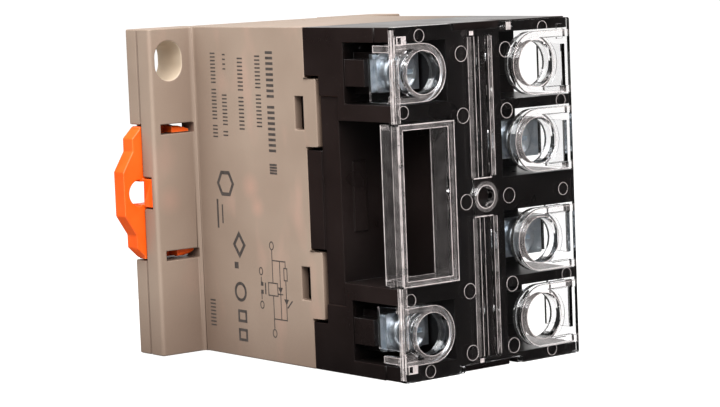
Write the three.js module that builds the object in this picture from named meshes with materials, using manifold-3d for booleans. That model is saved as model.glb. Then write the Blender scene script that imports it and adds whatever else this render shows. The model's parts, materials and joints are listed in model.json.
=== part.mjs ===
// Rail-mounted power relay with screw terminals under a clear touch guard.
//
// Frame, in millimetres: the origin is the middle of the rail seat, on the mid length of the case.
// +Y points out of the back, towards the rail; the terminals face -Y. +X is the width across the
// rail and +Z the length along it. Lengths along Z are symmetric about z = 0.

import * as THREE from 'three';
import { mergeVertices } from 'three/addons/utils/BufferGeometryUtils.js';
import Module from 'manifold-3d';

const wasm = await Module();
wasm.setup();

// ---------------------------------------------------------------- driving dimensions

const LENGTH = 66;                 // case, along the rail
const WIDTH = 44.6;                // case, across the rail, without the flanges
const FLANGE_REACH = 10.5;         // each flange, beyond the case
const HALF_L = LENGTH / 2;
const HALF_W = WIDTH / 2;
const FLANGE_X = HALF_W + FLANGE_REACH;

// Planes of constant y, from the rail to the terminals.
const BACK = 2.4;                  // back of the flanges: the panel face
const SEAT = 0;                    // where the rail's lips rest
const FLOOR = -3.5;                // inside floor of the base
const FLANGE_FRONT = -6.2;
const BASE_FRONT = -42.8;          // where the base meets the terminal housing
const COIL_CHAMBER_FLOOR = -54.9;
const LOAD_CHAMBER_FLOOR = -52.9;
const POST_TOP = -60.6;            // support under each terminal strap
const HOUSING_FRONT = -68.5;
const GUARD_FRONT = -70.1;
const GUARD_RIM = -70.45;          // raised rings and frames of the guard
const HOOD_BACK = -67.3;           // inner end of the screwdriver tubes

const WALL = 1.9;
const GAP = 0.3;                   // between pieces that lie against each other
const CUT = 0.1;                   // how far a cutting shape runs past the face it cuts

// Rail fastening.
const RAIL_SLOT = { left: -18.2, right: 17.65, lip: 16.3, lipBack: 1.25 };
const CLIP_POCKET = { front: -1.75, halfZ: 13.8 };
const CLIP = { front: -1.6, back: 2.0, thinBack: 0.6 };
const FLANGE_SKIN_BACK = -4.75;    // front skin of the flange, over the clip's tab and nubs
const TAB = { outer: -32.7, inner: -28.8, front: -4.6, halfZ: 2.9 };
const FLANGE_SLOT = { x: 28.3, z: 26.5, radius: 3.2, halfStraight: 0.8 };

// Terminals: the two coil terminals are on the -X side, the load terminals on +X.
const COIL_TERMINAL = { x: -15.7, z: 24.4 };
const LOAD_TERMINAL = { x: 12.6, z: 9.6 };
const SPARE_TERMINAL_Z = 24.4;
const STRAP = { thick: 1.0, width: 7.6, foot: -40.5, hole: 2.3 };
const CLAMP = { thick: 0.8, side: 8.2, clearance: 0.05 };
const SCREW = { headRadius: 3.75, headHeight: 2.15, shankRadius: 1.95, shankLength: 6.5 };
const SCREW_WELL = 2.6;            // radius of the hole in the post under a screw

// Magnet and contacts.
const COIL = { x: -6, flangeFront: -31.0, flangeBack: -6.2, radius: 10, flange: 10.8 };
const CORE = { radius: 4, poleRadius: 5, poleFace: -33.3, poleBack: -31.6 };
const YOKE = { back: -3.8, thick: 1.8, legX: -19.3, right: 2, halfZ: 9, legEnd: -34.6 };
const ARMATURE = { back: -35.0, thick: 1.6, left: -19.5, right: 4, halfZ: 8.5, tip: 12 };
const CARRIER_X = 10.5;
const BRIDGE = { back: -44.3, thick: 1.0, halfX: 2.5, halfZ: 12 };
const CONTACT = { radius: 2.2, height: 0.6, seat: 0.02 };

// ---------------------------------------------------------------- materials

function plastic(color, roughness, more = {}) {
  return new THREE.MeshStandardMaterial({ color, roughness, metalness: 0, ...more });
}

function metal(color, roughness) {
  return new THREE.MeshStandardMaterial({ color, roughness, metalness: 1 });
}

const MATERIAL = {
  greyPlastic: plastic('#b3a394', 0.6),
  blackPlastic: plastic('#231c1a', 0.25),
  clearPlastic: plastic('#e9e6e6', 0.08, { transparent: true, opacity: 0.35 }),
  orangePlastic: plastic('#ff5a00', 0.45),
  zinc: metal('#a9b4bd', 0.3),
  brass: metal('#c9a860', 0.35),
  copper: metal('#b5643a', 0.4),
  silver: metal('#d8d8d4', 0.25),
  steel: metal('#8d9094', 0.4),
  spring: metal('#9a9da0', 0.3),
  bobbin: plastic('#e5ded0', 0.5),
  phenolic: plastic('#6b4a2e', 0.7),
  board: plastic('#2f6b3c', 0.5),
  greenLens: plastic('#3fae52', 0.2),
  resistor: plastic('#c7a98a', 0.5),
  diode: plastic('#1d1d1f', 0.4),
};

// ---------------------------------------------------------------- solids

// Turns a closed three.js geometry into a solid that can be cut and joined.
function solid(geometry) {
  const bare = geometry.clone();
  bare.deleteAttribute('normal');
  bare.deleteAttribute('uv');
  const merged = mergeVertices(bare, 1e-4);
  return new wasm.Manifold(new wasm.Mesh({
    numProp: 3,
    vertProperties: new Float32Array(merged.attributes.position.array),
    triVerts: new Uint32Array(merged.index.array),
  }));
}

function box(x, y, z) {
  const [x0, x1] = [Math.min(...x), Math.max(...x)];
  const [y0, y1] = [Math.min(...y), Math.max(...y)];
  const [z0, z1] = [Math.min(...z), Math.max(...z)];
  const geometry = new THREE.BoxGeometry(x1 - x0, y1 - y0, z1 - z0);
  geometry.translate((x0 + x1) / 2, (y0 + y1) / 2, (z0 + z1) / 2);
  return solid(geometry);
}

// A shape drawn in x and z, extruded between two planes of constant y.
function prismY(shape, y, curveSegments = 10) {
  const [front, back] = [Math.min(...y), Math.max(...y)];
  const geometry = new THREE.ExtrudeGeometry(shape, {
    depth: back - front, bevelEnabled: false, curveSegments,
  });
  geometry.rotateX(Math.PI / 2);
  geometry.translate(0, back, 0);
  return solid(geometry);
}

// A shape drawn in x and y, extruded between two planes of constant z.
function prismZ(shape, z, curveSegments = 6) {
  const [low, high] = [Math.min(...z), Math.max(...z)];
  const geometry = new THREE.ExtrudeGeometry(shape, {
    depth: high - low, bevelEnabled: false, curveSegments,
  });
  geometry.translate(0, 0, low);
  return solid(geometry);
}

// A round bar along y.
function rodY(x, z, radius, y, segments = 32) {
  const [front, back] = [Math.min(...y), Math.max(...y)];
  const geometry = new THREE.CylinderGeometry(radius, radius, back - front, segments);
  geometry.translate(x, (front + back) / 2, z);
  return solid(geometry);
}

// A round bar along z.
function rodZ(x, y, radius, z, segments = 20) {
  const [low, high] = [Math.min(...z), Math.max(...z)];
  const geometry = new THREE.CylinderGeometry(radius, radius, high - low, segments);
  geometry.rotateX(Math.PI / 2);
  geometry.translate(x, y, (low + high) / 2);
  return solid(geometry);
}

// A profile of [radius, y] points, in either sense, turned about an axis along y.
function turnedY(profile, x, z, segments = 32) {
  const points = profile.map(([r, y]) => new THREE.Vector2(r, y));
  if (THREE.ShapeUtils.area(points) < 0) points.reverse();
  const geometry = new THREE.LatheGeometry(points, segments);
  geometry.translate(x, 0, z);
  return solid(geometry);
}

function polygon(points) {
  return new THREE.Shape(points.map(([a, b]) => new THREE.Vector2(a, b)));
}

// An outline whose corners are rounded, each by its own radius.
function roundedOutline(corners) {
  const shape = new THREE.Shape();
  corners.forEach(([a, b, radius], i) => {
    const [pa, pb] = corners[(i + corners.length - 1) % corners.length];
    const [na, nb] = corners[(i + 1) % corners.length];
    const here = new THREE.Vector2(a, b);
    const towards = (p, q) => new THREE.Vector2(p, q).sub(here).normalize().multiplyScalar(radius);
    const start = here.clone().add(towards(pa, pb));
    const end = here.clone().add(towards(na, nb));
    if (i === 0) shape.moveTo(start.x, start.y);
    else shape.lineTo(start.x, start.y);
    shape.quadraticCurveTo(a, b, end.x, end.y);
  });
  shape.closePath();
  return shape;
}

function roundedRectangle(a, b, radius) {
  return roundedOutline([
    [a[0], b[0], radius], [a[1], b[0], radius], [a[1], b[1], radius], [a[0], b[1], radius],
  ]);
}

// The outline of a terminal hood: half round about the screw, with straight legs to the case edge.
function hoodOutline(centreX, centreZ, radius, edgeX) {
  const shape = new THREE.Shape();
  const towardsRight = edgeX > centreX;
  shape.moveTo(edgeX, centreZ - radius);
  shape.lineTo(centreX, centreZ - radius);
  shape.absarc(centreX, centreZ, radius, -Math.PI / 2, Math.PI / 2, towardsRight);
  shape.lineTo(edgeX, centreZ + radius);
  shape.closePath();
  return shape;
}

function joined(...pieces) {
  return pieces.reduce((sum, piece) => sum.add(piece));
}

function cut(body, ...tools) {
  return tools.reduce((rest, tool) => rest.subtract(tool), body);
}

// Adds the same piece at +z and, mirrored, at -z.
function bothEnds(make) {
  return joined(make(1), make(-1));
}

const relay = new THREE.Group();

function add(name, body, material) {
  const mesh = body.getMesh();
  const geometry = new THREE.BufferGeometry();
  geometry.setAttribute('position', new THREE.BufferAttribute(mesh.vertProperties, 3));
  geometry.setIndex(new THREE.BufferAttribute(mesh.triVerts, 1));
  geometry.computeVertexNormals();
  const piece = new THREE.Mesh(geometry, material);
  piece.name = name;
  relay.add(piece);
}

// ---------------------------------------------------------------- base housing

const LATCH = { z: [10.1, 23.2], end: -46.2, window: [13.3, 19.8], windowY: [-39.4, -42.1] };

function baseHousing() {
  const corner = 0.8;
  const outline = roundedOutline([
    [-FLANGE_X, BACK, corner], [-FLANGE_X, FLANGE_FRONT, corner],
    [-HALF_W, FLANGE_FRONT, 1.0], [-HALF_W, BASE_FRONT, 0.2],
    [HALF_W, BASE_FRONT, 0.2], [HALF_W, FLANGE_FRONT, 1.0],
    [FLANGE_X, FLANGE_FRONT, corner], [FLANGE_X, BACK, corner],
  ]);
  const block = prismZ(outline, [-HALF_L, HALF_L]);
  const room = box([-HALF_W + WALL, HALF_W - WALL], [FLOOR, BASE_FRONT - CUT],
    [-HALF_L + WALL, HALF_L - WALL]);
  return cut(joined(cut(block, room), latches(), springSeat()),
    railChannel(), clipPocket(), ...flangeOpenings(), ...latchWindows());
}

// Tongues that rise over the sides of the terminal housing.
function latches() {
  const tongue = (side, end) => box(
    [side * HALF_W, side * (HALF_W - WALL)],
    [BASE_FRONT + 1, LATCH.end],
    [end * LATCH.z[0], end * LATCH.z[1]]);
  return joined(bothEnds((end) => tongue(-1, end)), bothEnds((end) => tongue(1, end)));
}

function latchWindows() {
  const window = (side, end) => box(
    [side * (HALF_W + CUT), side * (HALF_W - WALL - CUT)],
    LATCH.windowY,
    [end * LATCH.window[0], end * LATCH.window[1]]);
  return [bothEnds((end) => window(-1, end)), bothEnds((end) => window(1, end))];
}

// Post that carries the return spring under the contact carrier.
const SPRING_SEAT_TOP = -20;
function springSeat() {
  return rodY(CARRIER_X, 0, 3.4, [FLOOR + 1, SPRING_SEAT_TOP], 24);
}

function railChannel() {
  const length = [-HALF_L - CUT, HALF_L + CUT];
  return joined(
    box([RAIL_SLOT.left, RAIL_SLOT.right], [SEAT, RAIL_SLOT.lipBack], length),
    box([RAIL_SLOT.left, RAIL_SLOT.lip], [SEAT, BACK + CUT], length));
}

// The clip's pocket is open to the back, to the channel and to the flange's outer edge.
function clipPocket() {
  const halfZ = CLIP_POCKET.halfZ;
  const pocket = box([-FLANGE_X - CUT, RAIL_SLOT.left + 0.3],
    [CLIP_POCKET.front, BACK + CUT], [-halfZ, halfZ]);
  const ledge = (end) => box([-31, -27], [CLIP.thinBack + GAP, BACK],
    [end * 12.1, end * (halfZ + 1)]);
  return cut(pocket, bothEnds(ledge));
}

// Mounting slots at opposite corners, windows over the clip's arms, and the notch for its tab.
function flangeOpenings() {
  const slot = (x, z) => {
    const { radius, halfStraight } = FLANGE_SLOT;
    const shape = new THREE.Shape();
    shape.absarc(x, z + halfStraight, radius, 0, Math.PI, false);
    shape.absarc(x, z - halfStraight, radius, Math.PI, 2 * Math.PI, false);
    shape.closePath();
    return prismY(shape, [FLANGE_FRONT - CUT, BACK + CUT]);
  };
  const window = (end) => box([-30.8, -22.8], [FLANGE_FRONT - CUT, CLIP_POCKET.front + CUT],
    [end * 11.8, end * CLIP_POCKET.halfZ]);
  const tabNotch = box([-FLANGE_X - CUT, TAB.inner + GAP],
    [FLANGE_SKIN_BACK, CLIP_POCKET.front + CUT], [-TAB.halfZ - GAP, TAB.halfZ + GAP]);
  const seam = (side) => box([side * (FLANGE_X + CUT), side * (FLANGE_X - 0.3)],
    [CLIP_POCKET.front - 0.2, CLIP_POCKET.front + 0.2], [-HALF_L - CUT, HALF_L + CUT]);
  return [
    slot(-FLANGE_SLOT.x, FLANGE_SLOT.z), slot(FLANGE_SLOT.x, -FLANGE_SLOT.z),
    bothEnds(window), tabNotch, seam(-1), seam(1),
  ];
}

// ---------------------------------------------------------------- rail clip

// Half outline of the clip's plate in [x, z], from the pull end to the hooked edge.
const CLIP_OUTLINE = [
  [-37.3, 4.5], [-34.8, 8.5], [-34.8, 11.1], [-32.4, 13.4], [-31.3, 13.4], [-31.3, 11.0],
  [-18.5, 11.0],
];
const CLIP_ARM = { outer: -33, elbow: -25.6, tip: -23.1, inside: 11.7, outside: 13.4, tipZ: 12.5 };
const CLIP_NUB = { outer: -27.2, elbow: -25.4, inside: 11.95, outside: 13.2, tipZ: 12.4 };
const FINGER_HOLE = { x: -33.3, radius: 2.7, slotHalfZ: 2.3 };

function railClip() {
  const otherHalf = CLIP_OUTLINE.map(([x, z]) => [x, -z]).reverse();
  const plate = prismY(polygon([...CLIP_OUTLINE, ...otherHalf]), [CLIP.front, CLIP.back]);
  const tapered = ({ outer, elbow, inside, outside, tipZ }, end, y) => prismY(polygon([
    [outer, end * inside], [outer, end * outside], [elbow, end * outside],
    [CLIP_ARM.tip, end * tipZ], [CLIP_ARM.tip, end * inside],
  ]), y);
  const arm = (end) => tapered(CLIP_ARM, end, [CLIP.front, CLIP.thinBack]);
  const nub = (end) => tapered(CLIP_NUB, end, [TAB.front, CLIP.front + 0.5]);
  const tab = box([TAB.outer, TAB.inner], [TAB.front, CLIP.front + 0.5],
    [-TAB.halfZ, TAB.halfZ]);
  const hook = prismZ(polygon([
    [-19, CLIP.back], [-19, RAIL_SLOT.lipBack], [-16.2, RAIL_SLOT.lipBack],
    [-16.2, RAIL_SLOT.lipBack + 0.25], [-17.2, CLIP.back],
  ]), [-8, 8]);
  const eye = new THREE.Shape();
  eye.absarc(FINGER_HOLE.x, 0, FINGER_HOLE.radius, Math.PI / 2, 3 * Math.PI / 2, false);
  eye.closePath();
  const through = [CLIP.front - CUT, CLIP.back + CUT];
  const fingerHole = joined(prismY(eye, through, 12), box([FINGER_HOLE.x - CUT, TAB.inner - 1],
    through, [-FINGER_HOLE.slotHalfZ, FINGER_HOLE.slotHalfZ]));
  const slit = (end) => box([-30, -18], through, [end * 9.0, end * 9.8]);
  return cut(joined(plate, bothEnds(arm), bothEnds(nub), tab, hook), fingerHole, bothEnds(slit));
}

// ---------------------------------------------------------------- terminal housing

const MARKER = { right: -8.6, halfZ: 15.45, cavityFloor: -52.5 };
const COIL_CHAMBER = { right: -9.05, z: [18.6, 30.2] };
const LOAD_CHAMBER = { left: 4.25, inner: [3.2, 16.0], outer: [17.95, 30.8] };
const INNER_ROOM = { halfX: 18.4, halfZ: 29.2, top: -50.6 };
const END_GROOVE = [5, 7];

function terminalHousing() {
  const block = prismZ(roundedRectangle([-HALF_W, HALF_W], [HOUSING_FRONT, BASE_FRONT], 0.2),
    [-HALF_L, HALF_L]);
  const room = box([-INNER_ROOM.halfX, INNER_ROOM.halfX], [BASE_FRONT + CUT, INNER_ROOM.top],
    [-INNER_ROOM.halfZ, INNER_ROOM.halfZ]);
  const shell = joined(cut(block, room, middleCavity(), ...chambers(), ...sideRelief()),
    skirt(), posts(), signalPad());
  return cut(shell, ...strapWells());
}

// The rim that slides inside the base, with catches that snap into its windows.
function skirt() {
  const outerX = HALF_W - WALL - 0.2;
  const outerZ = HALF_L - WALL - 0.2;
  const ring = cut(
    box([-outerX, outerX], [-38.6, BASE_FRONT - 0.5], [-outerZ, outerZ]),
    box([-INNER_ROOM.halfX, INNER_ROOM.halfX], [-38.6 + CUT, BASE_FRONT - 1],
      [-INNER_ROOM.halfZ, INNER_ROOM.halfZ]));
  const catchProfile = (side) => polygon([
    [side * (outerX - 0.5), -39.7], [side * (outerX + 0.3), -39.7],
    [side * (HALF_W - 0.6), -41.4], [side * (outerX - 0.5), -41.4],
  ]);
  const catches = (side) => bothEnds((end) => prismZ(catchProfile(side),
    [end * (LATCH.window[0] + 0.4), end * (LATCH.window[1] - 0.4)]));
  return joined(ring, catches(-1), catches(1));
}

// Recess that holds the marker frame, open to the front and to the -X side.
function middleCavity() {
  return box([-HALF_W - CUT, MARKER.right + GAP], [MARKER.cavityFloor, HOUSING_FRONT - CUT],
    [-MARKER.halfZ, MARKER.halfZ]);
}

function signalPad() {
  return box([-19.1, -15.9], [MARKER.cavityFloor + 0.5, MARKER.cavityFloor - 0.3], [-6.0, 7.4]);
}

function chambers() {
  const coil = (end) => box([-HALF_W - CUT, COIL_CHAMBER.right],
    [COIL_CHAMBER_FLOOR, HOUSING_FRONT - CUT],
    [end * COIL_CHAMBER.z[0], end * COIL_CHAMBER.z[1]]);
  const load = (z) => (end) => box([LOAD_CHAMBER.left, HALF_W + CUT],
    [LOAD_CHAMBER_FLOOR, HOUSING_FRONT - CUT], [end * z[0], end * z[1]]);
  return [bothEnds(coil), bothEnds(load(LOAD_CHAMBER.inner)), bothEnds(load(LOAD_CHAMBER.outer))];
}

// Pockets for the base's tongues, the lower band between the ends, and the stepped corners.
function sideRelief() {
  const tonguePocket = (side) => bothEnds((end) => box(
    [side * (HALF_W + CUT), side * (HALF_W - WALL - 0.2)], [BASE_FRONT + CUT, LATCH.end - 1.0],
    [end * (LATCH.z[0] - 0.6), end * (LATCH.z[1] + 0.6)]));
  const band = (side) => box([side * (HALF_W + CUT), side * (HALF_W - 0.35)],
    [LATCH.end - 1.0, MARKER.cavityFloor - 0.4], [-20, 20]);
  const cornerStep = (side) => bothEnds((end) => box([side * (HALF_W + CUT), side * (HALF_W - 0.4)],
    [-64.0, HOUSING_FRONT - CUT], [end * (COIL_CHAMBER.z[1] - CUT), end * (HALF_L + CUT)]));
  const endGroove = (end) => box(END_GROOVE, [-64.5, HOUSING_FRONT - CUT],
    [end * (HALF_L + CUT), end * (HALF_L - 1.4)]);
  return [tonguePocket(-1), tonguePocket(1), band(-1), band(1), cornerStep(-1), cornerStep(1),
    bothEnds(endGroove)];
}

// Supports under the straps; the spare chambers have only low ones.
const POST_X = { coil: [-21.9, -10.6], coilShoulder: [-19.6, -11.8], load: [7.6, 21.9] };
const SPARE_POST_TOP = -54.9;

function posts() {
  const coilY = [COIL_CHAMBER_FLOOR + 1, POST_TOP];
  const loadFoot = LOAD_CHAMBER_FLOOR + 1;
  const coil = (end) => joined(
    box(POST_X.coil, coilY, [end * 21.9, end * 27.0]),
    box(POST_X.coilShoulder, coilY, [end * 20.5, end * 28.3]));
  const load = (end) => box(POST_X.load, [loadFoot, POST_TOP], [end * 6.0, end * 13.2]);
  const spare = (end) => box(POST_X.load, [loadFoot, SPARE_POST_TOP], [end * 21.7, end * 27.9]);
  return joined(bothEnds(coil), bothEnds(load), bothEnds(spare));
}

// Wells under the screws, and the slots where the straps go through to the inner room.
function strapWells() {
  const well = (x, z, floor) => bothEnds((end) => rodY(x, end * z, SCREW_WELL,
    [floor, POST_TOP - CUT], 24));
  const passage = (x, z, half) => bothEnds((end) => box(x, [INNER_ROOM.top + 1, POST_TOP - CUT],
    [end * (z - half), end * (z + half)]));
  return [
    well(COIL_TERMINAL.x, COIL_TERMINAL.z, COIL_CHAMBER_FLOOR + 0.8),
    well(LOAD_TERMINAL.x, LOAD_TERMINAL.z, LOAD_CHAMBER_FLOOR + 0.5),
    passage([-10.6, -9.05], COIL_TERMINAL.z, 1.8),
    passage([4.9, 6.5], LOAD_TERMINAL.z, STRAP.width / 2 + GAP),
  ];
}

// ---------------------------------------------------------------- touch guard

const HOOD = { wall: 1.3, flap: 1.1, flapEnd: -62.4 };
const LOAD_HOOD_EDGE = 21.2;
const COIL_HOOD = { x: COIL_TERMINAL.x, hole: 4.0, ring: 5.5, edge: -HALF_W };
const LOAD_HOOD = { x: LOAD_TERMINAL.x, hole: 4.4, ring: 6.05, edge: LOAD_HOOD_EDGE };
const PLATE_BACK = HOUSING_FRONT - 0.05;
const MARKER_FRAME_BACK = -65.2;

function touchGuard() {
  const plate = prismY(guardOutline(), [GUARD_FRONT, PLATE_BACK]);
  const terminals = [
    { ...COIL_HOOD, z: COIL_TERMINAL.z },
    { ...LOAD_HOOD, z: LOAD_TERMINAL.z },
    { ...LOAD_HOOD, z: SPARE_TERMINAL_Z },
  ];
  const hoods = terminals.map((t) => bothEnds((end) => hood(t, end)));
  const holes = terminals.map((t) => bothEnds((end) => rodY(t.x, end * t.z, t.hole,
    [GUARD_RIM - CUT, HOOD_BACK + CUT], 32)));
  const opening = box([-21.2, MARKER.right - 1.7], [GUARD_RIM - CUT, -60.0], [-13.95, 13.95]);
  const raised = joined(plate, ...hoods, markerFrame(), cornerPads(), hookBlock());
  return cut(joined(cut(raised, ...holes), centreBlock()),
    opening, centreGroove(), snapHole(), cornerHoles());
}

// The guard stops short of the case ends between its two end steps.
function guardOutline() {
  const stepX = -7.7;
  const hookX = 7.0;
  const inset = HALF_L - 1.35;
  return roundedOutline([
    [-HALF_W, -HALF_L, 0.3], [stepX, -HALF_L, 0.5], [stepX, -inset, 0.5], [hookX, -inset, 0.2],
    [hookX, -HALF_L + 0.2, 0.2], [HALF_W - 0.4, -HALF_L + 0.2, 0.5],
    [HALF_W - 0.4, HALF_L - 0.2, 0.5],
    [hookX, HALF_L - 0.2, 0.2], [hookX, inset, 0.2], [stepX, inset, 0.5],
    [stepX, HALF_L, 0.5], [-HALF_W, HALF_L, 0.3],
  ]);
}

// A U-shaped wall round one screw, with a flap that covers the wire entry at the case edge.
function hood({ x, z, ring, edge }, end) {
  const wall = (radius, edgeX, y) => prismY(hoodOutline(x, end * z, radius, edgeX), y, 12);
  const outer = wall(ring, edge, [GUARD_RIM, HOOD_BACK]);
  const inner = wall(ring - HOOD.wall, edge, [GUARD_FRONT + 0.9, HOOD_BACK + CUT]);
  const hollow = wall(ring - HOOD.wall, edge * 2, [GUARD_RIM - CUT, GUARD_FRONT + 0.2]);
  const tube = rodY(x, end * z, ring - 0.6, [GUARD_RIM, HOOD_BACK], 32);
  const flap = box([edge, edge - Math.sign(edge) * HOOD.flap], [GUARD_FRONT + 0.5, HOOD.flapEnd],
    [end * (z - ring + 0.15), end * (z + ring - 2.8)]);
  return joined(cut(outer, inner, hollow), tube, flap);
}

// A hollow frame that holds a marker over the middle cavity.
function markerFrame() {
  return box([-HALF_W, MARKER.right], [GUARD_RIM, MARKER_FRAME_BACK],
    [-MARKER.halfZ + GAP, MARKER.halfZ - GAP]);
}

const CENTRE = { left: -4.3, right: 1.45, blockHalfZ: 3.75, holeX: -1.3, holeRadius: 2.1 };

// A shallow groove along the middle, with two ribs and a thicker block round the snap hole.
function centreGroove() {
  const depth = [GUARD_RIM - CUT, GUARD_FRONT + 0.7];
  const span = (end) => [end * CENTRE.blockHalfZ, end * (HALF_L - 2.4)];
  return bothEnds((end) => joined(
    box([CENTRE.left, -3.0], depth, span(end)),
    box([-2.6, -1.9], depth, span(end)),
    box([-1.5, 0.45], depth, span(end)),
    box([0.9, CENTRE.right], depth, span(end))));
}

// The block round the snap hole, and the blocks where the ribs end.
function centreBlock() {
  const raised = [GUARD_RIM, HOUSING_FRONT - 0.1];
  const ribEnd = (end) => box([CENTRE.left, -3.1], raised, [end * 30.5, end * 31.5]);
  return joined(bothEnds(ribEnd),
    box([CENTRE.left, 0.4], raised, [-CENTRE.blockHalfZ, CENTRE.blockHalfZ]));
}

// Round hole with a narrow slot towards -X.
function snapHole() {
  const through = [GUARD_RIM - CUT, HOUSING_FRONT];
  return joined(rodY(CENTRE.holeX, 0, CENTRE.holeRadius, through, 32),
    box([CENTRE.left + 0.5, CENTRE.holeX], through, [-0.45, 0.45]));
}

// Raised pads at the corners, each with a bar or a tab that reaches into the chamber beside it.
function cornerPads() {
  const raised = [GUARD_RIM, PLATE_BACK];
  const pad = (end) => box([-HALF_W, -19.5], raised, [end * 27.4, end * 31.3]);
  const bar = (end) => box([-HALF_W, -HALF_W + 1.1], [GUARD_FRONT + 0.5, -63.8],
    [end * 28.3, end * 29.7]);
  const farTab = (end) => box([18.2, 19.7], raised, [end * 28.8, end * 31.65]);
  return joined(bothEnds(pad), bothEnds(bar), bothEnds(farTab));
}

// Catch that drops into the groove in the upper end of the housing.
function hookBlock() {
  const x = [END_GROOVE[0] + GAP, END_GROOVE[1] - GAP];
  return joined(
    box(x, [GUARD_FRONT, PLATE_BACK], [HALF_L - 2, HALF_L - 0.2]),
    box(x, [GUARD_FRONT + 0.5, -64.9], [HALF_L - 1.1, HALF_L - 0.2]));
}

function cornerHoles() {
  return bothEnds((end) => box([-21.65, -20.85], [GUARD_RIM - CUT, HOUSING_FRONT],
    [end * 29.9, end * 31.1]));
}

// ---------------------------------------------------------------- terminals

function terminalScrew(x, z, headBack) {
  const { headRadius: r, headHeight: h, shankRadius: shank, shankLength } = SCREW;
  const top = headBack - h;
  const end = headBack + shankLength;
  const body = turnedY([
    [0, end], [shank - 0.5, end], [shank, end - 0.6], [shank, headBack], [r, headBack],
    [r, top + 0.7], [r - 0.25, top + 0.25], [r - 0.8, top], [0, top],
  ], x, z);
  const slot = (a, b) => box([x - a, x + a], [top - CUT, top + 1.3], [z - b, z + b]);
  return cut(body, slot(2.2, 0.4), slot(0.4, 2.2));
}

function clampPlate(x, z, back) {
  const half = CLAMP.side / 2;
  const outline = roundedRectangle([x - half, x + half], [z - half + 0.4, z + half - 0.4], 0.8);
  return cut(prismY(outline, [back - CLAMP.thick, back]),
    rodY(x, z, STRAP.hole - 0.1, [back - 2, back + 1], 24));
}

// Strap from a load screw down to the foot that carries a fixed contact.
function loadStrap(z) {
  const back = POST_TOP - CLAMP.clearance;
  const halfWidth = STRAP.width / 2;
  const [leg, footEnd, end] = [5.2, 13.2, 20.6];
  const profile = polygon([
    [end, back], [leg + STRAP.thick, back], [leg + STRAP.thick, STRAP.foot],
    [footEnd, STRAP.foot], [footEnd, STRAP.foot + STRAP.thick], [leg, STRAP.foot + STRAP.thick],
    [leg, back - STRAP.thick], [end, back - STRAP.thick],
  ]);
  return cut(prismZ(profile, [z - halfWidth, z + halfWidth]),
    rodY(LOAD_TERMINAL.x, z, STRAP.hole, [back + 1, back - 2], 24));
}

// Strap from a coil screw down to a narrow solder tail.
function coilStrap(z) {
  const back = POST_TOP - CLAMP.clearance;
  const [outer, leg, legInner, tailEnd] = [-20.6, -10.3, -9.4, -46.0];
  const plate = box([outer, legInner], [back, back - STRAP.thick], [z - 3.6, z + 3.6]);
  const tail = box([leg, legInner], [back, tailEnd], [z - 1.4, z + 1.4]);
  return cut(joined(plate, tail),
    rodY(COIL_TERMINAL.x, z, STRAP.hole, [back + 1, back - 2], 24));
}

function addTerminals() {
  const terminals = [
    ['coil_a', COIL_TERMINAL.x, COIL_TERMINAL.z, coilStrap],
    ['coil_b', COIL_TERMINAL.x, -COIL_TERMINAL.z, coilStrap],
    ['load_a', LOAD_TERMINAL.x, LOAD_TERMINAL.z, loadStrap],
    ['load_b', LOAD_TERMINAL.x, -LOAD_TERMINAL.z, loadStrap],
  ];
  const clampBack = POST_TOP - CLAMP.clearance - STRAP.thick - CLAMP.clearance;
  const headBack = clampBack - CLAMP.thick - CLAMP.clearance;
  for (const [name, x, z, strap] of terminals) {
    add(`${name}_strap`, strap(z), MATERIAL.zinc);
    add(`${name}_clamp`, clampPlate(x, z, clampBack), MATERIAL.zinc);
    add(`${name}_screw`, terminalScrew(x, z, headBack), MATERIAL.zinc);
  }
}

// ---------------------------------------------------------------- magnet

function coilBobbin() {
  const { x, flangeFront, flangeBack, flange } = COIL;
  const bore = CORE.radius + 0.1;
  const cheek = (y) => prismY(roundedRectangle([x - flange, x + flange], [-13, 13], 1.5), y);
  return cut(joined(
    rodY(x, 0, bore + 1, [flangeFront, flangeBack], 32),
    cheek([flangeFront, flangeFront + 1.2]),
    cheek([flangeBack - 1.2, flangeBack])),
  rodY(x, 0, bore, [flangeFront - 1, flangeBack + 1], 32));
}

function coilWinding() {
  const inner = CORE.radius + 0.1 + 1 + 0.05;
  const front = COIL.flangeFront + 1.3;
  const back = COIL.flangeBack - 1.3;
  return turnedY([[inner, front], [COIL.radius, front], [COIL.radius, back], [inner, back],
    [inner, front]], COIL.x, 0, 48);
}

function ironCore() {
  return joined(
    rodY(COIL.x, 0, CORE.radius, [YOKE.back - YOKE.thick - 0.1, CORE.poleFace], 32),
    rodY(COIL.x, 0, CORE.poleRadius, [CORE.poleBack, CORE.poleFace], 32));
}

function yoke() {
  const profile = polygon([
    [YOKE.right, YOKE.back], [YOKE.legX, YOKE.back], [YOKE.legX, YOKE.legEnd],
    [YOKE.legX + YOKE.thick, YOKE.legEnd], [YOKE.legX + YOKE.thick, YOKE.back - YOKE.thick],
    [YOKE.right, YOKE.back - YOKE.thick],
  ]);
  return prismZ(profile, [-YOKE.halfZ, YOKE.halfZ]);
}

function armature() {
  const { back, thick, left, right, halfZ, tip } = ARMATURE;
  const outline = roundedOutline([
    [left, -halfZ, 1], [right, -halfZ, 2], [right + 2, -1.7, 0.5], [tip, -1.7, 0.4],
    [tip, 1.7, 0.4], [right + 2, 1.7, 0.5], [right, halfZ, 2], [left, halfZ, 1],
  ]);
  return prismY(outline, [back, back - thick]);
}

// ---------------------------------------------------------------- contacts

class Helix extends THREE.Curve {
  constructor(x, radius, start, end, turns) {
    super();
    Object.assign(this, { x, radius, start, end, turns });
  }

  getPoint(t, target = new THREE.Vector3()) {
    const angle = 2 * Math.PI * this.turns * t;
    return target.set(this.x + this.radius * Math.cos(angle),
      this.start + (this.end - this.start) * t, this.radius * Math.sin(angle));
  }
}

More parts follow.
